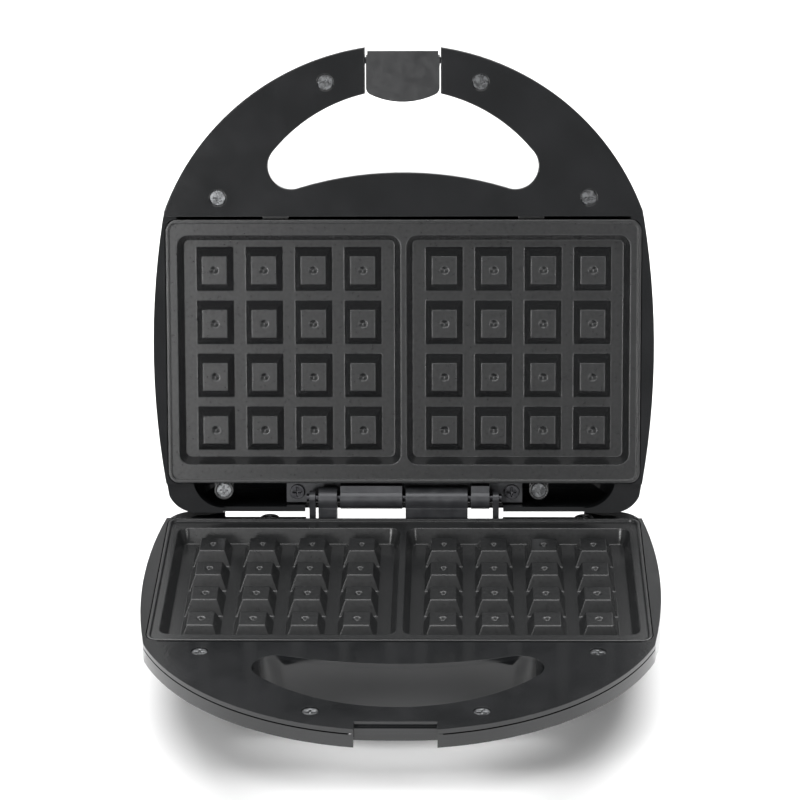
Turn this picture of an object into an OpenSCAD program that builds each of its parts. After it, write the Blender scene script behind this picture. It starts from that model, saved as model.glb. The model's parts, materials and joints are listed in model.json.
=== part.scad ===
/* [Plates] */
// Length of a cooking plate, side to side
plate_l = 215.6; // [200:0.2:235]
// Width of a cooking plate, front to back
plate_w = 121; // [115:0.5:132]
// Corner radius of a plate
plate_corner = 5; // [4:0.5:10]
// Thickness of a plate from its lip to its underside
plate_t = 11; // [9.5:0.5:13]
// Height of the raised lip above the flange
lip_h = 1; // [0.6:0.1:1.4]
// Width of the raised lip
lip_w = 1.5; // [1:0.1:2.5]
// Length of one batter pocket at the flange, side to side
pocket_l = 101.4; // [92:0.2:102]
// Width of one batter pocket at the flange, front to back
pocket_w = 105.4; // [96:0.2:108]
// How far the pockets lie in front of the plate's middle
pocket_shift = 0.6; // [0:0.1:2]
// Depth of the pockets below the flange
pocket_depth = 7; // [5:0.2:7.5]
// How far a pocket wall leans in on its way down
pocket_draft = 2.6; // [2:0.1:4]
// Corner radius of a pocket's floor
pocket_corner = 2.5; // [1.5:0.5:7]
// Width of the bar between the two pockets
divider = 2.8; // [2:0.1:6]

/* [Waffle pattern] */
// Blocks across one pocket
blocks_x = 4; // [2:1:4]
// Blocks from front to back in one pocket
blocks_y = 4; // [2:1:4]
// Distance between block centres, side to side
pitch_x = 22.5; // [21:0.1:23.5]
// Distance between block centres, front to back
pitch_y = 24.5; // [22:0.1:25]
// Distance between the innermost block centres of the two pockets
inner_pitch = 37.1; // [33:0.1:42]
// Length of a block at its foot
block_l = 16.8; // [12:0.1:18]
// Width of a block at its foot
block_w = 20.1; // [14:0.1:21]
// Length of a block at its top
block_top_l = 11.4; // [8:0.1:12]
// Width of a block at its top
block_top_w = 12.7; // [8:0.1:14]
// How far the block tops lie below the flange
block_drop = 0.5; // [0:0.1:1.5]
// Diameter of the dimple in a block's top
dimple_d = 4; // [2:0.1:6]
// Depth of the dimple
dimple_depth = 1.2; // [0.5:0.1:2]

/* [Housings] */
// Depth of one housing below its rim
housing_depth = 41; // [38:0.5:50]
// Wall thickness of the housings
wall = 2.2; // [1.8:0.1:2.8]
// Clear gap between a plate and the housing round it
plate_gap = 0.4; // [0.3:0.05:1]
// Radius of the bowed sides
side_bow = 375; // [300:5:500]
// Radius of the round front
front_r = 115.8; // [110:0.2:125]
// Reach of the handle in front of the plate
handle_reach = 79; // [72:0.5:90]
// Reach of the housing behind the plate
rear_reach = 14.3; // [13.5:0.1:18]
// Height of the upright band under the rim
band = 8.3; // [7:0.1:9]
// Radius that turns the sides under
side_round = 30; // [20:1:32]
// Radius that turns the back under
rear_round = 14; // [10:1:16]
// Slope of the belly that rises to the front corners, in degrees
belly_slope = 36; // [30:0.5:45]
// Radius of the belly's flat bottom at the front
belly_r = 106; // [98:0.5:108]
// Slope of the underside of the handle, in degrees
handle_slope = 14; // [10:0.5:18]
// Clear gap between the two rims when shut
mate_gap = 1; // [0.6:0.1:2]
// How far the rim behind the plates drops at the corners
corner_drop = 3; // [3:0.1:5]
// How far the rim drops between the rear corners
rear_drop = 6; // [5:0.1:8]

/* [Handle] */
// Depth of the handle bar in front of the hand hole
bar_w = 20.2; // [17:0.1:24]
// Depth of the bezel strip behind the hand hole
strip_w = 20; // [17:0.1:23]
// Distance of a tip of the hand hole from the middle
tip_x = 50.7; // [42:0.1:56]
// Distance of a tip's centre in front of the seam
tip_y = 22.8; // [20:0.1:26]
// Radius of a tip of the hand hole
tip_r = 10.4; // [8:0.1:12]
// Thickness of the bezel
bezel_t = 2; // [1.6:0.1:2.6]
// Open line between the bezel and the housing wall under it
seam = 0.6; // [0.3:0.1:1]

/* [Hinge] */
// Angle of the open lid
open_angle = 104.5; // [90:0.5:105]
// Hinge axis behind the plate's edge
hinge_setback = 7.9; // [7.5:0.1:9]
// Hinge axis above the rim of the base
hinge_rise = 6.6; // [6.2:0.1:7]
// Outer radius of the knuckles
knuckle_r = 5; // [4.2:0.1:5.2]
// Radius of the hinge pin
pin_r = 2; // [1.5:0.1:2.4]
// Radial clearance of a knuckle that turns on the pin
running = 0.05; // [0.03:0.01:0.08]
// Length of each long knuckle
long_knuckle = 28.5; // [22:0.1:32]
// Length of each short knuckle
short_knuckle = 8.5; // [6:0.1:10]
// Gap between neighbouring knuckles
knuckle_gap = 1.5; // [0.8:0.1:2.5]
// Thickness of an ear at each end of the pin
ear_t = 2.8; // [2:0.1:4]

/* [Latch] */
// Width of the latch
latch_w = 32; // [26:0.5:36]
// Length of the latch
latch_l = 22.8; // [20:0.1:23]
// Thickness of the latch's plate
latch_t = 3; // [2.4:0.1:3.4]
// Clear gap on each side of the latch
latch_gap = 1; // [0.8:0.1:2]
// Radius of the latch pin
latch_pin_r = 1.5; // [1:0.1:1.8]

/* [Feet] */
// Height of the feet under the base
foot_h = 4.5; // [3:0.1:8]
// Radius of a foot
foot_r = 7; // [5:0.5:9]

/* [Hidden] */
$fn = 96;

// Clearances and small common values
fit = 0.15;
over = 1;
skin = 0.05;
far = 400;

// Plan of one half, whose origin is the middle of its plate at rim level. The front is -Y.
half_l = plate_l / 2;
half_w = plate_w / 2;
bow_at_corner = side_bow - sqrt(side_bow^2 - (half_w - 9)^2);
side_x = half_l + plate_gap + wall + bow_at_corner;
front_y = half_w + handle_reach;
front_c = front_y - front_r;
rear_y = half_w + rear_reach;
seam_y = half_w + plate_gap + 1.1;
rear_corner = 13.3;
rear_corner_x = side_x - 18.1;
well_x = side_x - 17;
well_r = 14;
rim_land = 2.4;
front_span = half_l - plate_corner;
bowl_front = seam_y + 14;
belly_c = half_w - 13.5;
wing_core = 50;
floor_z = wall - housing_depth;

// Hand hole
hole_front = front_y - bar_w;
hole_rear = seam_y + strip_w;
tip_v = seam_y + tip_y;
lead = hole_front - tip_v;
hole_front_r = (tip_x^2 + lead^2 - tip_r^2) / (2 * (lead - tip_r));
trail = tip_v - hole_rear;
hole_rear_r = (tip_x^2 + trail^2 - tip_r^2) / (2 * (tip_r - trail));

// Latch
latch_half = latch_w / 2;
gap_half = latch_half + latch_gap;
latch_top = front_y - 3;
latch_axis_y = latch_top - 4.3;
latch_axis_z = -5;
latch_barrel_r = latch_pin_r + 1;
latch_face = -0.4;
latch_back = latch_face - latch_t;
latch_arc_r = 34;
latch_corner = 3.5;
shelf_front = latch_axis_y + latch_back - latch_axis_z - 0.3;
shelf_top = -2.2;
shelf_t = 2.2;
hook_from_axis = -latch_axis_z + mate_gap - shelf_top + shelf_t + 0.3;
hook_h = 2.5;
hook_reach = 2.5;
latch_rib_l = mate_gap - latch_axis_z - shelf_top - 0.8;
latch_pin_l = 2 * gap_half + 2 * wall;

// Screws
screw_r = 1.5;
screw_l = 6.2;
head_r = 3.4;
head_h = 1.6;
head_sink = 0.5;
seat_z = -head_sink - head_h;
seat_t = 2.1;
seat_r = 5;
bezel_screws = [[-35, front_y - bar_w + 3.2], [35, front_y - bar_w + 3.2],
    [-84, seam_y + 8.5], [84, seam_y + 8.5]];
plate_screws = [[-61.8, half_w + 3.6], [82.6, half_w + 3.6]];
tab_z = -3.2;
tab_t = 2;
tab_r = 4.4;
ring_h = 1.7;
ring_t = 1;
front_tabs = [-58, 58];
front_tab_l = 12;
front_tab_out = 4.5;
post_r = 3.6;
pilot_r = screw_r + skin;

// Blocks of a pocket keep the same bar between the two groups
block_centre = inner_pitch / 2 + (blocks_x - 1) / 2 * pitch_x;

// Underside of a plate: a thin rim round a deeper body
rim_t = 5;
body_l = plate_l - 8;
body_w = plate_w - 10;
body_corner = 10;
under = -plate_t;

// Parts under a plate
boss_l = 9;
boss_r = 4;
boss_x = half_l - 23;
boss_y = half_w - 22;
tube_r = 3.2;
tube_gap = 0.2;
tube_z = under - tube_gap - tube_r;
leg_y = 26;
bend_x = boss_x - leg_y - 14;
leg_end = boss_x - 14;
pin_l = 9;
pin_rod_r = 1.5;
wire_r = 1.1;
tray_z = under - boss_l;
tray_t = 0.8;
tray_l = plate_l - 34;
tray_w = plate_w - 31;
tray_lip = 5;
clip_w = 9;
clip_l = 20;
clip_t = 1;
clip_xs = [-bend_x + 8, 18, leg_end - 14];

// Hinge: measured from the middle of the pin, the ears lie outside the knuckles
hinge_y = half_w + hinge_setback;
base_axis_z = hinge_rise;
lid_axis_z = mate_gap - hinge_rise;
strip_z = -14;
strip_t = 3;
bar_front = half_w + 1.2;
bar_back = rear_y - wall - 0.5;
long_start = knuckle_gap / 2;
short_start = long_start + long_knuckle + knuckle_gap;
ear_start = short_start + short_knuckle + knuckle_gap;
ear_end = ear_start + ear_t;
ear_r = knuckle_r - 1.6;
pin_end = ear_end + 1.2;
hinge_screw_x = ear_end + 6;
strip_half = hinge_screw_x + 5;
hinge_notch = ear_end + 2;
hinge_screw_y = (bar_front + bar_back) / 2;
notch_drop = 15;

// Base fittings
foot_x = side_x - side_round - foot_r - 14;
foot_front = half_w - 39;
foot_rear = half_w - 11;
foot_places = [for (x = [-foot_x, foot_x], y = [-foot_front, foot_rear]) [x, y]];
peg_r = 2.4;
gland_x = 67;
gland_z = -18.5;
gland_side = 13;
gland_bore = 4;
gland_l = 14;
block_x = 36;
block_y = half_w - 16;
block_size = [26, 13, 11];

// Lid fittings
lamp_xs = [-14, 14];
lamp_v = 34;
lens_r = 4;
lens_flange = 5.5;

// Frame: the origin is the middle of the footprint of the open appliance, on the worktop
rim_z = foot_h + housing_depth;
lid_rear = housing_depth - hinge_rise + mate_gap;
lid_flat_front = bowl_front - side_round;
open_back = hinge_y + side_round - (hinge_y + lid_flat_front) * cos(open_angle)
    + (lid_rear - side_round) * sin(open_angle);
open_front = front_c + sqrt(front_r^2 - gap_half^2);
frame_y = (open_front - open_back) / 2;

// ---------- places ----------

// Puts a half's own space at the base
module at_base() {
    translate([0, frame_y, rim_z]) children();
}

// Puts a half's own space at the lid: the same space turned over, and opened about the hinge
module at_lid() {
    translate([0, frame_y + hinge_y, rim_z + hinge_rise])
        rotate([-open_angle, 0, 0])
            rotate([0, 180, 0])
                translate([0, -hinge_y, -lid_axis_z])
                    children();
}

// ---------- shapes that both halves share ----------

// Plan of a half, drawn inside its edge by the inset
module outline(inset = 0) {
    intersection() {
        translate([side_x - side_bow, 0])
            circle(side_bow - inset);
        translate([side_bow - side_x, 0])
            circle(side_bow - inset);
        union() {
            intersection() {
                translate([0, -front_c])
                    circle(front_r - inset);
                translate([-far / 2, -far])
                    square([far, far]);
            }
            translate([-far / 2, -front_c])
                square([far, front_c + rear_y - rear_corner]);
            translate([-rear_corner_x, -front_c])
                square([2 * rear_corner_x, front_c + rear_y - inset]);
            for (side = [-1, 1])
                translate([side * rear_corner_x, rear_y - rear_corner])
                    circle(rear_corner - inset);
        }
    }
}

// Section of a bowed side: upright, then turned under. X is the distance from the bow's centre.
module side_section(inset, top) {
    reach = side_bow - inset + skin;
    turn = side_round - inset;
    low = inset - housing_depth;
    translate([0, low])
        square([reach - turn, top - low]);
    translate([0, low + turn])
        square([reach, top - low - turn]);
    translate([reach - turn, low + turn])
        circle(turn);
}

// Long section through the deep part of a half, from its front at -X to its back
module long_section(inset, top) {
    front = inset - bowl_front;
    back = rear_y - inset + skin;
    front_turn = side_round - inset;
    back_turn = rear_round - inset;
    low = inset - housing_depth;
    translate([front + front_turn, low])
        square([back - back_turn - front - front_turn, top - low]);
    translate([front, low + front_turn])
        square([back - front - 1, top - low - front_turn]);
    translate([front + front_turn, low + back_turn])
        square([back - front - front_turn, top - low - back_turn]);
    translate([front + front_turn, low + front_turn])
        circle(front_turn);
    translate([back - back_turn, low + back_turn])
        circle(back_turn);
}

// Section of the round belly, which cuts the front corners away below
module belly_section(inset, top) {
    low = inset - housing_depth;
    foot = belly_r + (inset - inset / cos(belly_slope)) / tan(belly_slope);
    rise = top - low;
    polygon([[0, low - over], [foot, low - over], [foot, low], [foot + rise / tan(belly_slope), top],
        [0, top]]);
}

// Deep part of a half
module bowl(inset, top) {
    intersection() {
        translate([0, 0, inset - housing_depth - over])
            linear_extrude(housing_depth - inset + over + top)
                outline(inset);
        translate([side_x - side_bow, 0, 0])
            rotate_extrude()
                side_section(inset, top + over);
        translate([side_bow - side_x, 0, 0])
            rotate_extrude()
                side_section(inset, top + over);
        rotate([90, 0, 90])
            translate([0, 0, -far / 2])
                linear_extrude(far)
                    long_section(inset, top + over);
        translate([0, belly_c, 0])
            rotate_extrude()
                belly_section(inset, top + over);
    }
}

// Thin part of a half that carries the handle, with its sloping underside
module wing(inset, top) {
    lift = inset / cos(handle_slope);
    reach = front_r - inset + skin;
    edge_z = lift - band - inset * tan(handle_slope);
    core_z = lift - band - (front_r - wing_core) * tan(handle_slope);
    intersection() {
        translate([0, 0, core_z - over])
            linear_extrude(top - core_z + over)
                outline(inset);
        translate([0, -front_c, 0])
            rotate_extrude()
                polygon([[0, core_z], [wing_core, core_z], [reach, edge_z], [reach, top + over],
                    [0, top + over]]);
        translate([-far / 2, -far, -far / 2])
            cube([far, far + half_w, far]);
    }
}

module form(inset, top) {
    bowl(inset, top);
    wing(inset, top);
}

// Bean-shaped hand hole, grown outwards by the given amount. Its two long arcs touch the tips.
module hand_hole(grow = 0) {
    front_centre = hole_front - hole_front_r;
    rear_centre = hole_rear - hole_rear_r;
    touch_front = hole_front_r / (hole_front_r - tip_r);
    touch_rear = tip_r / (hole_rear_r + tip_r);
    front_out = [tip_x * touch_front, front_centre + (tip_v - front_centre) * touch_front];
    rear_out = [tip_x * (1 - touch_rear), tip_v - (tip_v - rear_centre) * touch_rear];
    tip = [tip_x, tip_v];
    right = [tip + (rear_out - tip) * 2, tip, tip + (front_out - tip) * 2];
    mirror([0, 1])
        union() {
            intersection() {
                translate([0, front_centre])
                    circle(hole_front_r + grow);
                polygon([right[0], right[1], right[2], [tip_x + 20, hole_front + 20],
                    [-tip_x - 20, hole_front + 20], [-right[2].x, right[2].y],
                    [-right[1].x, right[1].y], [-right[0].x, right[0].y]]);
                difference() {
                    square(far, center = true);
                    translate([0, rear_centre])
                        circle(hole_rear_r - grow);
                }
            }
            for (side = [-1, 1])
                translate([side * tip_x, tip_v])
                    circle(tip_r + grow + skin);
        }
}

// Rounded rectangle about the origin
module round_rect(l, w, r) {
    square([l - 2 * r, w], center = true);
    square([l, w - 2 * r], center = true);
    for (x = [-1, 1], y = [-1, 1])
        translate([x * (l / 2 - r), y * (w / 2 - r)])
            circle(r);
}

// Pan-head screw with a cross recess, its head's underside at the origin and its head up
module screw(length, r = head_r) {
    slot = 0.8;
    difference() {
        union() {
            cylinder(h = head_h, r = r);
            translate([0, 0, -length])
                cylinder(h = length + 0.5, r = screw_r);
        }
        for (turn = [0, 90])
            rotate([0, 0, turn])
                translate([-r * 0.6, -slot / 2, head_h - 0.9])
                    cube([r * 1.2, slot, 2]);
    }
}

// ---------- housings ----------

// Posts and inner walls of a housing, taller than the housing and trimmed by it. The top of each
// group is at the piece that it carries.
module posts(top, places, r) {
    for (p = places)
        translate([p.x, p.y, -housing_depth])
            cylinder(h = housing_depth + top, r = r);
}

module shell(lid) {
    notch_back = lid ? hole_front - 4 : front_y - 12.5;
    carrier = tab_z - tab_t;
    difference() {
        union() {
            difference() {
                form(0, 0);
                form(wall, over);
                // seat for the bezel
                translate([-far / 2, -far, -bezel_t - seam])
                    cube([far, far - seam_y, far]);
                // lowered rim behind the plate
                translate([-far / 2, half_w + plate_gap, -corner_drop])
                    cube([far, far, far]);
                translate([-side_x + 26, half_w + plate_gap, -rear_drop])
                    cube([2 * side_x - 52, far, far]);
                translate([-hinge_notch, half_w + plate_gap, -notch_drop])
                    cube([2 * hinge_notch, far, far]);
            }
            intersection() {
                form(0, 0);
                union() {
                    // rim that fills the bow beside the plate
                    difference() {
                        translate([-far / 2, -seam_y, -rim_land])
                            cube([far, seam_y + half_w + plate_gap, rim_land]);
                        translate([-front_span, -far, -over - rim_land])
                            cube([2 * front_span, far, far]);
                    }
                    // wall round the hand hole
                    translate([0, 0, -housing_depth])
                        linear_extrude(housing_depth - bezel_t)
                            hand_hole(wall);
                    // walls round the latch notch
                    translate([-gap_half - wall, -far, -housing_depth])
                        cube([2 * (gap_half + wall), far - notch_back + wall,
                            housing_depth - bezel_t]);
                    // rear corners, solid outside the hinge well
                    difference() {
                        translate([-far / 2, half_w + plate_gap + 0.3, -corner_drop - 9])
                            cube([far, far, 9]);
                        translate([0, rear_y - wall - 40, -20])
                            linear_extrude(20)
                                round_rect(2 * well_x, 80, well_r);
                        translate([well_r - well_x, 0, -20])
                            cube([2 * (well_x - well_r), far, 20]);
                    }
                    posts(seat_z - seat_t, [for (p = bezel_screws) [p.x, -p.y]], post_r);
                    posts(carrier, [for (p = plate_screws) [p.x, p.y]], post_r);
                    posts(carrier, [for (x = front_tabs) [x, -half_w - 3.4]], 2.2);
                    posts(-1, [for (x = [-1, 1], y = [-1, 1])
                        [x * (half_l - 1.8), y * (half_w - 22)]], 1.8);
                    posts(strip_z - strip_t, [for (x = [-1, 1])
                        [x * hinge_screw_x, hinge_screw_y]], 4);
                }
            }
        }
        // seat for the rim of the plate
        translate([0, 0, -rim_t])
            linear_extrude(far)
                round_rect(plate_l + 2 * plate_gap, plate_w + 2 * plate_gap,
                    plate_corner + plate_gap);
        translate([0, 0, -far / 2])
            linear_extrude(far)
                hand_hole();
        translate([-gap_half, -far, -far / 2])
            cube([2 * gap_half, far - notch_back, far]);
        for (p = bezel_screws)
            translate([p.x, -p.y, seat_z - screw_l - 0.3])
                cylinder(h = screw_l, r = pilot_r);
        for (p = plate_screws)
            translate([p.x, p.y, carrier - screw_l])
                cylinder(h = screw_l + 1, r = pilot_r);
        for (x = [-1, 1])
            translate([x * hinge_screw_x, hinge_screw_y, strip_z - strip_t - screw_l])
                cylinder(h = screw_l + 1, r = pilot_r);
        if (lid) {
            for (x = lamp_xs)
                translate([x, -lamp_v, -housing_depth - over])
                    cylinder(h = wall + 2 * over, r = lens_r + skin);
            translate([-latch_pin_l / 2 - over, -latch_axis_y, latch_axis_z])
                rotate([0, 90, 0])
                    cylinder(h = latch_pin_l + 2 * over, r = latch_pin_r + 0.02);
        } else {
            for (p = foot_places)
                translate([p.x, p.y, -housing_depth - over])
                    cylinder(h = wall + 2 * over, r = peg_r + skin);
            translate([gland_x - gland_side / 2 - skin, rear_y - wall - over,
                gland_z - gland_side / 2 - skin])
                cube([gland_side + 2 * skin, far, gland_side + 2 * skin]);
        }
    }
}

module lower_shell() {
    color("#17181a")
        at_base()
            shell(false);
}

module upper_shell() {
    color("#17181a")
        at_lid()
            shell(true);
}

// ---------- bezels ----------

// Cover over the handle: a plate with a locating skirt, a flange beside the cooking plate and a
// seat round each screw
module bezel(lid) {
    skirt_out = wall + fit;
    difference() {
        union() {
            translate([0, 0, -bezel_t])
                linear_extrude(bezel_t)
                    outline();
            difference() {
                translate([0, 0, -bezel_t - 1.6])
                    linear_extrude(1.8)
                        outline(skirt_out);
                translate([0, 0, -bezel_t - 3])
                    linear_extrude(3)
                        outline(skirt_out + 1.5);
            }
            difference() {
                translate([-rear_corner_x, -seam_y - 1.5, -9])
                    cube([2 * rear_corner_x, 1.5, 8]);
                for (x = front_tabs)
                    translate([x - front_tab_l / 2 - 0.5, -seam_y - far / 2, -9.1])
                        cube([front_tab_l + 1, far, 9.1 - bezel_t]);
            }
            for (p = bezel_screws)
                translate([p.x, -p.y, seat_z - seat_t])
                    cylinder(h = seat_t + 1, r = seat_r);
        }
        translate([-far / 2, -seam_y, -far / 2])
            cube(far);
        translate([0, 0, -far / 2])
            linear_extrude(far)
                hand_hole();
        translate([0, 0, -far / 2])
            linear_extrude(far / 2 - bezel_t)
                hand_hole(wall + fit);
        // clear of the walls round the latch notch
        translate([-gap_half - wall - fit, -far, -far / 2])
            cube([2 * (gap_half + wall + fit), far - hole_front, far / 2 - bezel_t]);
        translate([-gap_half, -far, -far / 2])
            cube([2 * gap_half, far - (lid ? hole_front - 4 : shelf_front - 2), far]);
        for (p = bezel_screws) {
            translate([p.x, -p.y, seat_z])
                cylinder(h = far, r = head_r + fit);
            translate([p.x, -p.y, seat_z - far / 2])
                cylinder(h = far, r = screw_r + fit);
        }
    }
    if (!lid) {
        // catch shelf that the latch hooks under, with its small detent
        translate([-gap_half + fit, -shelf_front, shelf_top - shelf_t])
            cube([2 * (gap_half - fit), 2, shelf_t]);
        translate([-gap_half + fit, -shelf_front + 1.9, shelf_top - shelf_t])
            cube([2 * (gap_half - fit), 4, -shelf_top + shelf_t - 0.1]);
    }
}

module lower_bezel() {
    color("#1b1c1e")
        at_base()
            bezel(false);
}

module upper_bezel() {
    color("#1b1c1e")
        at_lid()
            bezel(true);
}

module bezel_screws_all() {
    for (p = bezel_screws)
        translate([p.x, -p.y, seat_z])
            screw(screw_l);
}

module lower_bezel_screws() {
    color("silver")
        at_base()
            bezel_screws_all();
}

module upper_bezel_screws() {
    color("silver")
        at_lid()
            bezel_screws_all();
}

// ---------- cooking plates ----------

// Bar of trapezoid section along Y, through the origin
module ridge(foot, top, low, high) {
    rotate([90, 0, 0])
        translate([0, 0, -far / 2])
            linear_extrude(far)
                polygon([[-foot / 2, low], [foot / 2, low], [top / 2, high], [-top / 2, high]]);
}

// One batter pocket: leaning walls that meet in leaning round corners
module pocket() {
    low = -lip_h - pocket_depth;
    rise = pocket_depth + over;
    lean = pocket_draft * rise / pocket_depth;
    straight_l = pocket_l - 2 * pocket_draft - 2 * pocket_corner;
    straight_w = pocket_w - 2 * pocket_draft - 2 * pocket_corner;
    foot = 2 * pocket_corner;
    intersection() {
        ridge(straight_l + foot, straight_l + foot + 2 * lean, low, low + rise);
        translate([-far / 2, -straight_w / 2, low])
            cube([far, straight_w, rise]);
    }
    intersection() {
        rotate([0, 0, 90])
            ridge(straight_w + foot, straight_w + foot + 2 * lean, low, low + rise);
        translate([-straight_l / 2, -far / 2, low])
            cube([straight_l, far, rise]);
    }
    for (x = [-1, 1], y = [-1, 1])
        translate([x * straight_l / 2, y * straight_w / 2, low])
            cylinder(h = rise, r1 = pocket_corner, r2 = pocket_corner + lean);
}

// Blocks of one pocket, a dimple in each
module blocks() {
    low = -lip_h - pocket_depth - 0.5;
    high = -lip_h - block_drop;
    spread_x = (block_l - block_top_l) / (pocket_depth - block_drop);
    spread_y = (block_w - block_top_w) / (pocket_depth - block_drop);
    xs = [for (i = [0:blocks_x - 1]) (i - (blocks_x - 1) / 2) * pitch_x];
    ys = [for (j = [0:blocks_y - 1]) (j - (blocks_y - 1) / 2) * pitch_y];
    difference() {
        intersection() {
            for (x = xs)
                translate([x, 0, 0])
                    ridge(block_l + spread_x / 2, block_top_l, low, high);
            for (y = ys)
                translate([0, y, 0])
                    rotate([0, 0, 90])
                        ridge(block_w + spread_y / 2, block_top_w, low, high);
        }
        for (x = xs, y = ys)
            translate([x, y, high - dimple_depth])
                cylinder(h = dimple_depth + 0.2, r1 = 0.3, r2 = dimple_d / 2 + 0.2);
    }
}

module plate() {
    difference() {
        union() {
            difference() {
                union() {
                    translate([0, 0, -rim_t])
                        linear_extrude(rim_t)
                            round_rect(plate_l, plate_w, plate_corner);
                    translate([0, 0, under])
                        linear_extrude(plate_t)
                            round_rect(body_l, body_w, body_corner);
                }
                translate([0, 0, -lip_h])
                    linear_extrude(lip_h + over)
                        round_rect(plate_l - 2 * lip_w, plate_w - 2 * lip_w, plate_corner - lip_w);
                for (side = [-1, 1])
                    translate([side * (pocket_l + divider) / 2, -pocket_shift, 0])
                        pocket();
            }
            for (side = [-1, 1])
                translate([side * block_centre, -pocket_shift, 0])
                    blocks();
            for (x = front_tabs)
                translate([x - front_tab_l / 2, -half_w - front_tab_out, tab_z - tab_t])
                    cube([front_tab_l, front_tab_out + over, tab_t]);
            for (p = plate_screws) {
                translate([p.x - tab_r, half_w - over, tab_z - tab_t])
                    cube([2 * tab_r, p.y - half_w + over, tab_t]);
                translate([p.x, p.y, tab_z - tab_t])
                    cylinder(h = tab_t, r = tab_r);
                difference() {
                    translate([p.x, p.y, tab_z - 0.2])
                        cylinder(h = ring_h + 0.2, r = tab_r);
                    translate([p.x, p.y, tab_z - over])
                        cylinder(h = far, r = tab_r - ring_t);
                }
            }
            for (x = [-boss_x, boss_x], y = [-boss_y, boss_y])
                translate([x, y, under - boss_l])
                    cylinder(h = boss_l + over, r = boss_r);
        }
        for (p = plate_screws)
            translate([p.x, p.y, tab_z - tab_t - over])
                cylinder(h = tab_t + 2 * over, r = screw_r + fit);
        for (x = [-boss_x, boss_x], y = [-boss_y, boss_y])
            translate([x, y, under - boss_l - over])
                cylinder(h = boss_l + over - 1, r = pilot_r);
    }
}

module lower_plate() {
    color("#2a2b2d")
        at_base()
            plate();
}

module upper_plate() {
    color("#2a2b2d")
        at_lid()
            plate();
}

module plate_screws_all() {
    for (p = plate_screws)
        translate([p.x, p.y, tab_z])
            screw(screw_l, tab_r - 1.2);
}

module lower_plate_screws() {
    color("silver")
        at_base()
            plate_screws_all();
}

module upper_plate_screws() {
    color("silver")
        at_lid()
            plate_screws_all();
}

// ---------- heating parts under each plate ----------

// U-shaped sheathed heater with a cold pin at each end
module element() {
    translate([-bend_x, 0, tube_z])
        rotate([0, 0, 90])
            rotate_extrude(angle = 180)
                translate([leg_y, 0])
                    circle(tube_r);
    for (side = [-1, 1])
        translate([-bend_x, side * leg_y, tube_z])
            rotate([0, 90, 0])
                union() {
                    cylinder(h = leg_end + bend_x, r = tube_r);
                    cylinder(h = leg_end + bend_x + pin_l, r = pin_rod_r);
                }
}

module lower_element() {
    color("#6f675f")
        at_base()
            element();
}

module upper_element() {
    color("#6f675f")
        at_lid()
            element();
}

// Straps that hold the heater up against the plate, each on two spacers
module element_clips() {
    strap_top = tube_z - tube_r;
    for (x = clip_xs, side = [-1, 1]) {
        translate([x - clip_w / 2, side * leg_y - clip_l / 2, strap_top - clip_t])
            cube([clip_w, clip_l, clip_t]);
        for (end = [-1, 1])
            translate([x, side * leg_y + end * (clip_l / 2 - 3), strap_top - 0.2])
                cylinder(h = under - strap_top + 0.2, r = 2.2);
    }
}

module lower_element_clips() {
    color("#b9bbbd")
        at_base()
            element_clips();
}

module upper_element_clips() {
    color("#b9bbbd")
        at_lid()
            element_clips();
}

// Heat shield: a shallow tray on the bosses of the plate
module reflector() {
    difference() {
        translate([-tray_l / 2, -tray_w / 2, tray_z - tray_t])
            cube([tray_l, tray_w, tray_lip]);
        translate([-tray_l / 2 + tray_t, -tray_w / 2 + tray_t, tray_z])
            cube([tray_l - 2 * tray_t, tray_w - 2 * tray_t, far]);
        for (x = [-boss_x, boss_x], y = [-boss_y, boss_y])
            translate([x, y, tray_z - over])
                cylinder(h = 2 * over, r = screw_r + fit);
        for (y = [-leg_y, leg_y])
            translate([leg_end + pin_l - 2, y, tray_z - over])
                cylinder(h = 2 * over, r = 3);
    }
}

module lower_reflector() {
    color("#c9cbcc")
        at_base()
            reflector();
}

module upper_reflector() {
    color("#c9cbcc")
        at_lid()
            reflector();
}

module reflector_screws() {
    for (x = [-boss_x, boss_x], y = [-boss_y, boss_y])
        translate([x, y, tray_z - tray_t])
            rotate([180, 0, 0])
                screw(screw_l);
}

module lower_reflector_screws() {
    color("silver")
        at_base()
            reflector_screws();
}

module upper_reflector_screws() {
    color("silver")
        at_lid()
            reflector_screws();
}

// ---------- hinge ----------

// One leaf of the hinge: a screwed strip with a long and a short knuckle on webs. Turned over, the
// same layout falls into the gaps of the other leaf.
module leaf(axis_z, bore, web_top) {
    knuckles = [[long_start, long_knuckle], [-short_start - short_knuckle, short_knuckle]];
    difference() {
        union() {
            translate([-strip_half, bar_front, strip_z - strip_t])
                cube([2 * strip_half, bar_back - bar_front, strip_t]);
            for (k = knuckles) {
                translate([k[0], bar_front + 0.4, strip_z - 0.5])
                    cube([k[1], hinge_y - bar_front + 2.6, web_top - strip_z + 0.5]);
                translate([k[0], hinge_y, axis_z])
                    rotate([0, 90, 0])
                        cylinder(h = k[1], r = knuckle_r);
            }
        }
        for (x = [-1, 1])
            translate([x * hinge_screw_x, hinge_screw_y, strip_z - far / 2])
                cylinder(h = far, r = screw_r + fit);
        translate([-far / 2, hinge_y, axis_z])
            rotate([0, 90, 0])
                cylinder(h = far, r = bore);
    }
}

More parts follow.
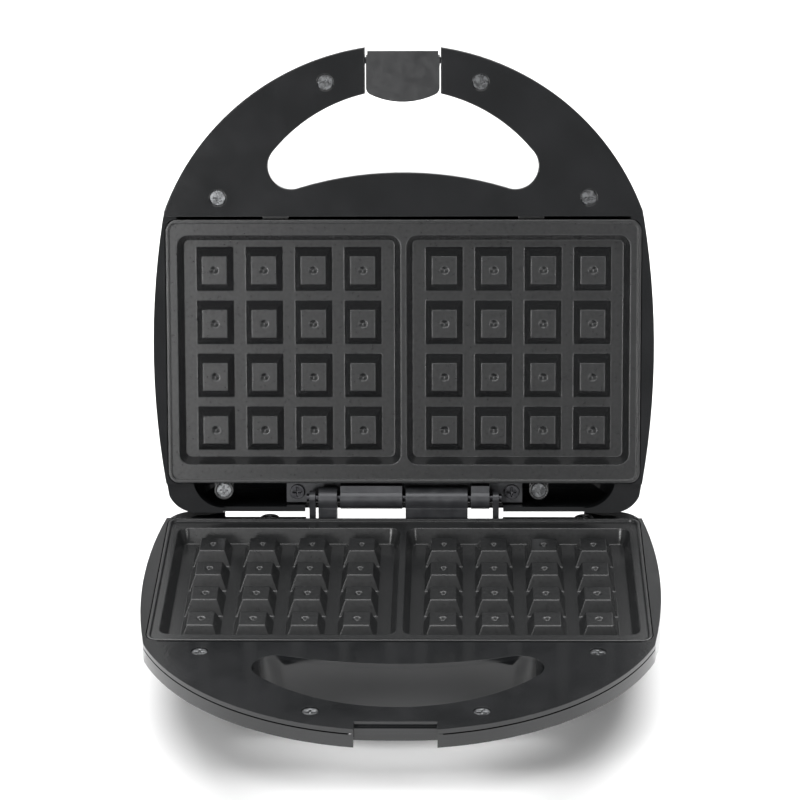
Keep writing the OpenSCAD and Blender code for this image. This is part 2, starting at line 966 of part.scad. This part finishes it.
module lower_hinge_bracket() {
    color("#3a3b3d")
        at_base() {
            leaf(base_axis_z, pin_r + 0.02, base_axis_z - 2.5);
            for (side = [-1, 1])
                difference() {
                    union() {
                        translate([side * (ear_start + ear_end) / 2 - ear_t / 2, hinge_y - ear_r,
                            strip_z - 0.2])
                            cube([ear_t, 2 * ear_r, base_axis_z - strip_z + 0.2]);
                        translate([side * (ear_start + ear_end) / 2 - ear_t / 2, hinge_y,
                            base_axis_z])
                            rotate([0, 90, 0])
                                cylinder(h = ear_t, r = ear_r);
                    }
                    translate([-far / 2, hinge_y, base_axis_z])
                        rotate([0, 90, 0])
                            cylinder(h = far, r = pin_r + 0.02);
                }
        }
}

module upper_hinge_bracket() {
    color("#3a3b3d")
        at_lid()
            leaf(lid_axis_z, pin_r + running, lid_axis_z + 4);
}

module hinge_screws() {
    for (x = [-1, 1])
        translate([x * hinge_screw_x, hinge_screw_y, strip_z])
            screw(screw_l + strip_t);
}

module lower_hinge_screws() {
    color("silver")
        at_base()
            hinge_screws();
}

module upper_hinge_screws() {
    color("silver")
        at_lid()
            hinge_screws();
}

module hinge_pin() {
    color("silver")
        at_base()
            translate([-pin_end, hinge_y, base_axis_z])
                rotate([0, 90, 0])
                    cylinder(h = 2 * pin_end, r = pin_r);
}

// ---------- latch ----------

module latch_pin() {
    color("silver")
        at_lid()
            translate([-latch_pin_l / 2, -latch_axis_y, latch_axis_z])
                rotate([0, 90, 0])
                    cylinder(h = latch_pin_l, r = latch_pin_r);
}

// Front of the latch: a narrow head, then a wider body with round corners and an arc at its end
module latch_outline() {
    wide = latch_half + 0.6 * latch_gap;
    arc_y = latch_l - latch_top - latch_arc_r;
    corner_x = wide - latch_corner;
    corner_y = arc_y + sqrt((latch_arc_r - latch_corner)^2 - corner_x^2);
    past_y = arc_y + 1.3 * (corner_y - arc_y);
    shoulder_y = -latch_top + 2.6;
    translate([-latch_half, -latch_top])
        square([latch_w, 2.6 + over]);
    translate([-wide, shoulder_y])
        square([2 * wide, corner_y - shoulder_y]);
    intersection() {
        translate([0, arc_y])
            circle(latch_arc_r);
        polygon([[-corner_x, corner_y - over], [corner_x, corner_y - over],
            [corner_x, corner_y], [1.3 * corner_x, past_y],
            [-1.3 * corner_x, past_y], [-corner_x, corner_y]]);
    }
    for (side = [-1, 1])
        translate([side * corner_x, corner_y])
            circle(latch_corner);
}

module latch() {
    color("#26272a")
        at_lid()
            difference() {
                union() {
                    translate([0, 0, latch_back])
                        linear_extrude(latch_t)
                            latch_outline();
                    for (side = [-1, 1])
                        translate([side * (latch_half - 0.9) - 0.9, -latch_axis_y, latch_back - 1.8])
                            cube([1.8, latch_rib_l, 2]);
                    translate([-latch_half + 4, -latch_axis_y + hook_from_axis,
                        latch_back - hook_reach])
                        cube([latch_w - 8, hook_h, hook_reach + 0.5]);
                    translate([-latch_half - 0.7, -latch_axis_y, latch_axis_z])
                        rotate([0, 90, 0])
                            cylinder(h = latch_w + 1.4, r = latch_barrel_r);
                }
                translate([-far / 2, -latch_axis_y, latch_axis_z])
                    rotate([0, 90, 0])
                        cylinder(h = far, r = latch_pin_r + running);
            }
}

// ---------- fittings of the base ----------

module feet() {
    color("#101011")
        at_base()
            for (p = foot_places)
                translate([p.x, p.y, -rim_z]) {
                    cylinder(h = foot_h, r = foot_r);
                    translate([0, 0, foot_h - 0.5])
                        cylinder(h = wall + 2.5, r = peg_r);
                }
}

module cord_gland() {
    flange = gland_side + 3;
    color("#101011")
        at_base()
            difference() {
                union() {
                    translate([gland_x - flange / 2, rear_y, gland_z - flange / 2])
                        cube([flange, 2, flange]);
                    translate([gland_x - gland_side / 2, rear_y - wall, gland_z - gland_side / 2])
                        cube([gland_side, wall + 1, gland_side]);
                    translate([gland_x, rear_y + 2 - gland_l, gland_z])
                        rotate([-90, 0, 0])
                            cylinder(h = gland_l - 1, r = gland_side / 2 - 0.5);
                }
                translate([gland_x, rear_y - far / 2, gland_z])
                    rotate([-90, 0, 0])
                        cylinder(h = far, r = gland_bore);
            }
}

// Two-way terminal block on the floor of the base
module terminal_block() {
    color("#d9d6cc")
        at_base()
            translate([block_x, block_y, floor_z])
                difference() {
                    translate([-block_size.x / 2, -block_size.y / 2, 0])
                        cube(block_size);
                    for (x = [-block_size.x / 4, block_size.x / 4])
                        translate([x, 0, block_size.z - 3])
                            cylinder(h = far, r = 2.2);
                }
}

// Bimetal thermostat against the underside of the plate
module thermostat() {
    color("#c8b48a")
        at_base() {
            translate([0, 0, under - 1])
                cylinder(h = 1, r = 10);
            translate([0, 0, under - 6])
                cylinder(h = 5.5, r = 7.5);
        }
}

module thermal_fuse() {
    color("#e8e4da")
        at_base()
            translate([30, -6, under - 2.5])
                rotate([-90, 0, 0])
                    cylinder(h = 12, r = 2.5);
}

// Straight run of wire between two points
module wire(a, b) {
    d = b - a;
    turn = atan2(d.y, d.x);
    fall = acos(d.z / norm(d));
    translate(a)
        rotate([0, fall, turn])
            cylinder(h = norm(d), r = wire_r, $fn = 8);
}

module lower_wires() {
    top = floor_z + block_size.z;
    color("#b8352c")
        at_base()
            for (side = [-1, 1]) {
                wire([leg_end + pin_l - 2, side * leg_y, tube_z - pin_rod_r],
                    [leg_end + pin_l - 2, side * leg_y, tray_z - 5]);
                wire([leg_end + pin_l - 2, side * leg_y, tray_z - 5],
                    [block_x + side * 7, block_y - 2 + side, top + 2 * wire_r]);
            }
}

// ---------- fittings of the lid ----------

module lens(x) {
    translate([x, -lamp_v, -housing_depth - 1]) {
        cylinder(h = wall + 1.5, r = lens_r);
        translate([0, 0, wall + 1])
            cylinder(h = 1, r = lens_flange);
    }
}

module power_light() {
    color("#b01814")
        at_lid()
            lens(lamp_xs[0]);
}

module ready_light() {
    color("#157a2c")
        at_lid()
            lens(lamp_xs[1]);
}

// Board that carries the two lamps behind their lenses
module lamp_holder() {
    color("#2f5d3a")
        at_lid()
            translate([lamp_xs[0] - 8, -lamp_v - 7, floor_z + 1])
                cube([lamp_xs[1] - lamp_xs[0] + 16, 14, 1.6]);
}

module upper_wires() {
    color("#b8352c")
        at_lid()
            for (side = [-1, 1]) {
                wire([leg_end + pin_l - 2, side * leg_y, tube_z - pin_rod_r],
                    [leg_end + pin_l - 2, side * leg_y, tray_z - 5]);
                wire([leg_end + pin_l - 2, side * leg_y, tray_z - 5],
                    [lamp_xs[1] + 2, -lamp_v + side * 3, floor_z + 2.6 + 2 * wire_r]);
            }
}

lower_shell();
lower_bezel();
lower_bezel_screws();
lower_plate();
lower_plate_screws();
lower_element();
lower_element_clips();
lower_reflector();
lower_reflector_screws();
lower_hinge_bracket();
lower_hinge_screws();
feet();
cord_gland();
terminal_block();
thermostat();
thermal_fuse();
lower_wires();
hinge_pin();
upper_shell();
upper_bezel();
upper_bezel_screws();
upper_plate();
upper_plate_screws();
upper_element();
upper_element_clips();
upper_reflector();
upper_reflector_screws();
upper_hinge_bracket();
upper_hinge_screws();
power_light();
ready_light();
lamp_holder();
upper_wires();
latch_pin();
latch();
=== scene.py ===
import json
import math

import bpy
from mathutils import Matrix, Vector

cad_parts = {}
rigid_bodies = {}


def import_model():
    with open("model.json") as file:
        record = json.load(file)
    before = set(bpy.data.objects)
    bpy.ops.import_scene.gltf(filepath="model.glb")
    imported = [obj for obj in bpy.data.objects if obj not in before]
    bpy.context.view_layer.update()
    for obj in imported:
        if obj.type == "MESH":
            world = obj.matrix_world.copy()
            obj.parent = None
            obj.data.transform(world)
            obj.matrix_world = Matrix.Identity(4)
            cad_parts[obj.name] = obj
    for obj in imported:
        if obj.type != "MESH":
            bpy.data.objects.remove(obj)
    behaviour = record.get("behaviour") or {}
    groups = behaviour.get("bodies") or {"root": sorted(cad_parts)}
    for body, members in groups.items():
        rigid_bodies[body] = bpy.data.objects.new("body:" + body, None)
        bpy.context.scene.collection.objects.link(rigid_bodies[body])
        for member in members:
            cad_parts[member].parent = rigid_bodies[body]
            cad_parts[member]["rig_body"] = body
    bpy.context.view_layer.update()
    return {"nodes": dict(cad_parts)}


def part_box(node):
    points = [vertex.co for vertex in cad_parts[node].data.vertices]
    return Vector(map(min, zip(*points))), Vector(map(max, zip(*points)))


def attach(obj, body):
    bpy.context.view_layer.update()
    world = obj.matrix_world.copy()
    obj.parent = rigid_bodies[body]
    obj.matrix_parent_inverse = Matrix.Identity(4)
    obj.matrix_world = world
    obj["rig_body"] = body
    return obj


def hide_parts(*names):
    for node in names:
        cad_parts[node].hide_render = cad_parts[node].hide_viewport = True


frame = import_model()
nodes = frame["nodes"]

# ---------------------------------------------------------------- camera
# The view is from the front, a little above and a touch to the right, through a long lens. It
# aims just above the middle of the cooking plate in the base.
rim_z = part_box("lower_plate")[1][2]
clips_low, clips_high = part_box("lower_element_clips")
plate_y = (clips_low[1] + clips_high[1]) / 2
aim_above_rim = 0.085
azimuth = math.radians(1.26)
elevation = math.radians(23.22)
roll = math.radians(-0.48)
distance = 1.4
aim = Vector((0, plate_y, rim_z + aim_above_rim))
turn = (
    Matrix.Rotation(azimuth, 4, "Z")
    @ Matrix.Rotation(math.pi / 2 - elevation, 4, "X")
    @ Matrix.Rotation(roll, 4, "Z")
)
bpy.ops.object.camera_add()
camera = bpy.context.object
camera.data.lens = 146.1
camera.data.sensor_width = 36
camera.data.clip_end = 50
camera.matrix_world = Matrix.Translation(aim + turn.to_3x3() @ Vector((0, 0, distance))) @ turn
bpy.context.scene.camera = camera
bpy.context.scene.view_settings.view_transform = "Standard"

# ---------------------------------------------------------------- studio
# A white sweep: a floor that curves up into a back wall. A large box above and behind lights the
# floor, and low boxes in front to the left and right draw a soft sheen on the cooking plates.
floor_size = 9
wall_height = 5
cove_radius = 1.6
near_wall = 4
bpy.ops.mesh.primitive_plane_add(size=1, location=(0, 0, 0))
sweep = bpy.context.object
sweep.name = "studio_sweep"
sweep.scale = (floor_size, floor_size, 1)
bpy.ops.object.transform_apply(location=True, rotation=True, scale=True)


def edit(piece):
    """Makes a piece the only selected one and opens it with nothing in it selected."""
    bpy.ops.object.select_all(action="DESELECT")
    piece.select_set(True)
    bpy.context.view_layer.objects.active = piece
    bpy.ops.object.mode_set(mode="EDIT")
    bpy.ops.mesh.select_all(action="DESELECT")


def done():
    bpy.ops.object.mode_set(mode="OBJECT")


def pick_edges(piece, wanted):
    """Selects the edges whose middle passes the test, in edit mode."""
    bpy.ops.object.mode_set(mode="OBJECT")
    for edge in piece.data.edges:
        a, b = (piece.data.vertices[i].co for i in edge.vertices)
        edge.select = wanted((a + b) / 2)
    bpy.ops.object.mode_set(mode="EDIT")
    bpy.ops.mesh.select_mode(type="EDGE")


def smooth(piece, angle=30):
    bpy.ops.object.select_all(action="DESELECT")
    piece.select_set(True)
    bpy.context.view_layer.objects.active = piece
    bpy.ops.object.shade_smooth_by_angle(angle=math.radians(angle))


def paint(piece, material):
    piece.data.materials.clear()
    piece.data.materials.append(material)


edit(sweep)
pick_edges(sweep, lambda p: p.y > near_wall)
bpy.ops.mesh.extrude_region_move(TRANSFORM_OT_translate={"value": (0, 0, wall_height)})
pick_edges(sweep, lambda p: p.y > near_wall and p.z < 0.01)
bpy.ops.mesh.bevel(offset=cove_radius, segments=16)
done()
smooth(sweep, 60)
paper = bpy.data.materials.new("studio_paper")
paper.use_nodes = True
paper_shader = paper.node_tree.nodes["Principled BSDF"]
paper_shader.inputs["Base Color"].default_value = (0.93, 0.93, 0.93, 1)
paper_shader.inputs["Roughness"].default_value = 0.9
paint(sweep, paper)

world = bpy.data.worlds.new("studio_air")
bpy.context.scene.world = world
world.use_nodes = True
air = world.node_tree.nodes["Background"]
air.inputs["Color"].default_value = (1, 1, 1, 1)
air.inputs["Strength"].default_value = 0.32


def soft_box(name, place, target, wide, high, power):
    bpy.ops.object.light_add(type="AREA", location=place)
    box = bpy.context.object
    box.name = name
    box.data.shape = "RECTANGLE"
    box.data.size = wide
    box.data.size_y = high
    box.data.energy = power
    away = Vector(place) - Vector(target)
    box.rotation_euler = away.to_track_quat("Z", "Y").to_euler()


middle = (0, 0, 0.1)
soft_box("box_over", (0, 1.3, 2.1), (0, 0.2, 0), 3.4, 1.8, 110)
soft_box("box_fill", (0, -1.4, 2.4), (0, -0.5, 0), 2.4, 1.0, 45)
soft_box("box_left", (-0.75, -2.1, 0.45), middle, 0.3, 0.6, 17)
soft_box("box_right", (0.95, -2.0, 0.4), middle, 0.25, 0.6, 8)
soft_box("box_high_left", (-0.8, -1.5, 1.3), middle, 0.5, 0.4, 7)

# ---------------------------------------------------------------- housings
# Each half has an injection-moulded housing in high-gloss black plastic, polished in the mould.
# The bevel of the edges is clamped to a few hundredths of a millimetre or less, so they are sharp.
merge_distance = 0.00001
flat_angle = 0.5


def finish(
    name, dark, light, rough, grain, bump=0.0, metallic=0.0, stretch=(1, 1, 1), radius=0.0
):
    """A finish whose colour, roughness and relief all vary. Grain is the size of its mottling in
    metres, rough gives the lowest and the highest roughness, and radius softens every edge in
    shading only."""
    material = bpy.data.materials.new(name)
    material.use_nodes = True
    tree = material.node_tree
    shader = tree.nodes["Principled BSDF"]
    shader.inputs["Metallic"].default_value = metallic
    place = tree.nodes.new("ShaderNodeTexCoord")
    mapping = tree.nodes.new("ShaderNodeMapping")
    mapping.inputs["Scale"].default_value = stretch
    tree.links.new(place.outputs["Object"], mapping.inputs["Vector"])
    broad = tree.nodes.new("ShaderNodeTexNoise")
    broad.inputs["Scale"].default_value = 1 / grain
    broad.inputs["Detail"].default_value = 6
    tree.links.new(mapping.outputs["Vector"], broad.inputs["Vector"])
    tint = tree.nodes.new("ShaderNodeValToRGB")
    tint.color_ramp.elements[0].position = 0.3
    tint.color_ramp.elements[0].color = (*dark, 1)
    tint.color_ramp.elements[1].position = 0.7
    tint.color_ramp.elements[1].color = (*light, 1)
    tree.links.new(broad.outputs["Fac"], tint.inputs["Fac"])
    tree.links.new(tint.outputs["Color"], shader.inputs["Base Color"])
    polish = tree.nodes.new("ShaderNodeMapRange")
    polish.inputs["From Min"].default_value = 0.3
    polish.inputs["From Max"].default_value = 0.7
    polish.inputs["To Min"].default_value = rough[0]
    polish.inputs["To Max"].default_value = rough[1]
    tree.links.new(broad.outputs["Fac"], polish.inputs["Value"])
    tree.links.new(polish.outputs["Result"], shader.inputs["Roughness"])
    if bump:
        fine = tree.nodes.new("ShaderNodeTexNoise")
        fine.inputs["Scale"].default_value = 12 / grain
        fine.inputs["Detail"].default_value = 3
        relief = tree.nodes.new("ShaderNodeBump")
        relief.inputs["Strength"].default_value = bump
        relief.inputs["Distance"].default_value = grain / 40
        tree.links.new(mapping.outputs["Vector"], fine.inputs["Vector"])
        tree.links.new(fine.outputs["Fac"], relief.inputs["Height"])
        tree.links.new(relief.outputs["Normal"], shader.inputs["Normal"])
        if radius:
            soft_edge = tree.nodes.new("ShaderNodeBevel")
            soft_edge.samples = 8
            soft_edge.inputs["Radius"].default_value = radius
            tree.links.new(soft_edge.outputs["Normal"], relief.inputs["Normal"])
    return material


def rounded(node, name, width, segments=2, angle=32, smooth_angle=30):
    """A merged copy of a node with its sharp edges bevelled, which takes the node's place. The
    width is an upper limit: overlap clamping holds the whole piece to what its shortest edges
    allow, which leaves hardly any bevel on the housings, plates, lower handle cover and latch."""
    mesh = nodes[node].data.copy()
    mesh.name = name
    piece = bpy.data.objects.new(name, mesh)
    bpy.context.scene.collection.objects.link(piece)
    edit(piece)
    bpy.ops.mesh.select_all(action="SELECT")
    bpy.ops.mesh.remove_doubles(threshold=merge_distance)
    bpy.ops.mesh.dissolve_limited(angle_limit=math.radians(flat_angle))
    done()
    bevel = piece.modifiers.new("edge_radius", "BEVEL")
    bevel.width = width
    bevel.segments = segments
    bevel.limit_method = "ANGLE"
    bevel.angle_limit = math.radians(angle)
    bevel.use_clamp_overlap = True
    bpy.ops.object.modifier_apply(modifier="edge_radius")
    smooth(piece, smooth_angle)
    flat = piece.modifiers.new("flat_faces", "WEIGHTED_NORMAL")
    flat.keep_sharp = True
    flat.weight = 100
    bpy.ops.object.modifier_apply(modifier="flat_faces")
    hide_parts(node)
    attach(piece, nodes[node]["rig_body"])
    return piece


gloss = finish(
    "gloss_black_moulding", (0.006, 0.0065, 0.007), (0.012, 0.0125, 0.0135), (0.05, 0.11), 0.03
)
for half in ("lower", "upper"):
    housing = rounded(half + "_shell", half + "_housing", width=0.0004)
    paint(housing, gloss)

# ---------------------------------------------------------------- bezels
# A flat moulded cover closes each handle and runs round the hand hole. It is the same black
# plastic, a little softer in polish.
soft_gloss = finish(
    "bezel_moulding", (0.007, 0.0075, 0.008), (0.010, 0.0105, 0.0115), (0.1, 0.16), 0.02, 0.04
)
for half in ("lower", "upper"):
    bezel = rounded(half + "_bezel", half + "_handle_cover", width=0.0005, segments=3)
    paint(bezel, soft_gloss)

# ---------------------------------------------------------------- cooking plates
# Die-cast aluminium with a sprayed and baked dark non-stick coat. The coat is satin and finely
# speckled. The edges look rounded by shading alone, and are sharp in the mesh.
coating = finish(
    "non_stick_coat", (0.013, 0.0135, 0.014), (0.018, 0.0185, 0.019), (0.24, 0.27), 0.0015, 0.03,
    radius=0.0009,
)
for half in ("lower", "upper"):
    plate = rounded(
        half + "_plate", half + "_cooking_plate", width=0.0006, angle=20, smooth_angle=40
    )
    paint(plate, coating)

# ---------------------------------------------------------------- hinge
# Two cast leaves with interleaved knuckles turn on a steel pin, one leaf on each housing. They
# have a dark satin coat.
satin = finish(
    "hinge_coat", (0.03, 0.031, 0.034), (0.05, 0.051, 0.055), (0.32, 0.45), 0.006, 0.2, 0.4
)
for half in ("lower", "upper"):
    leaf = rounded(half + "_hinge_bracket", half + "_hinge_leaf", width=0.0004)
    paint(leaf, satin)

# ---------------------------------------------------------------- latch
# A swinging loop that turns on a steel pin. It is moulded in charcoal plastic with a fine matt
# grain.
charcoal = finish(
    "latch_moulding", (0.009, 0.0095, 0.0105), (0.014, 0.0145, 0.0155), (0.28, 0.36), 0.004, 0.2
)
latch = rounded("latch", "swing_latch", width=0.0005, segments=3)
paint(latch, charcoal)

# ---------------------------------------------------------------- screws and pins
# Pan-head screws with a cross recess hold the covers, plates, heat shields and hinge leaves.
# They are black zinc, apart from the blued hinge screws. The two pins are blued as well.
black_zinc = finish(
    "black_zinc", (0.09, 0.092, 0.095), (0.2, 0.205, 0.21), (0.2, 0.34), 0.002, 0.1, 1.0
)
blued = finish(
    "blued_steel", (0.03, 0.03, 0.033), (0.06, 0.06, 0.064), (0.3, 0.42), 0.002, 0.1, 1.0
)
for node in list(nodes):
    if node.endswith("_screws"):
        screws = rounded(node, node.replace("_screws", "_fixings"), width=0.00045, segments=3)
        paint(screws, blued if "hinge" in node else black_zinc)
for node in ("hinge_pin", "latch_pin"):
    paint(nodes[node], blued)

# ---------------------------------------------------------------- heating parts
# Behind each plate lie a steel-sheathed heater, the zinc-plated straps that clip it and a rolled
# aluminium heat shield.
sheath = finish("heater_sheath", (0.16, 0.14, 0.12), (0.3, 0.27, 0.24), (0.4, 0.6), 0.01, 0.2, 0.8)
zinc = finish("zinc_plating", (0.4, 0.41, 0.43), (0.6, 0.61, 0.62), (0.3, 0.45), 0.006, 0.15, 1.0)
rolled = finish(
    "rolled_aluminium", (0.6, 0.61, 0.62), (0.75, 0.76, 0.77), (0.22, 0.38), 0.01, 0.1, 1.0,
    stretch=(1, 14, 1),
)
for half in ("lower", "upper"):
    paint(nodes[half + "_element"], sheath)
    paint(nodes[half + "_element_clips"], zinc)
    paint(nodes[half + "_reflector"], rolled)

# ---------------------------------------------------------------- fittings
# Moulded rubber feet and cord gland, a ceramic terminal block and thermal fuse, a brass
# thermostat, the board under the pilot lights and the leads in red silicone sleeves.
rubber = finish(
    "black_rubber", (0.012, 0.012, 0.012), (0.022, 0.022, 0.022), (0.6, 0.8), 0.006, 0.3
)
for node in ("feet", "cord_gland"):
    fitting = rounded(node, node + "_moulding", width=0.0006, segments=3)
    paint(fitting, rubber)
ceramic = finish(
    "ceramic_insulator", (0.7, 0.68, 0.62), (0.82, 0.8, 0.74), (0.45, 0.6), 0.008, 0.15
)
brass = finish("bare_brass", (0.5, 0.38, 0.18), (0.62, 0.5, 0.28), (0.25, 0.4), 0.005, 0.1, 1.0)
sleeve = finish("silicone_sleeve", (0.4, 0.03, 0.025), (0.5, 0.05, 0.04), (0.45, 0.6), 0.01, 0.1)
board = finish("lamp_board", (0.02, 0.1, 0.04), (0.03, 0.14, 0.06), (0.35, 0.5), 0.01, 0.1)
paint(nodes["terminal_block"], ceramic)
paint(nodes["thermal_fuse"], ceramic)
paint(nodes["thermostat"], brass)
paint(nodes["lower_wires"], sleeve)
paint(nodes["upper_wires"], sleeve)
paint(nodes["lamp_holder"], board)

# ---------------------------------------------------------------- pilot lights
# Two lenses in clear tinted plastic on top of the lid, red for power and green for ready. They
# are drawn as opaque gloss, unlit.
for node, tint in (("power_light", (0.45, 0.012, 0.01)), ("ready_light", (0.012, 0.3, 0.05))):
    lens = rounded(node, node + "_lens", width=0.0007, segments=3)
    paint(lens, finish(node + "_tint", tint, tuple(1.3 * c for c in tint), (0.08, 0.14), 0.01))
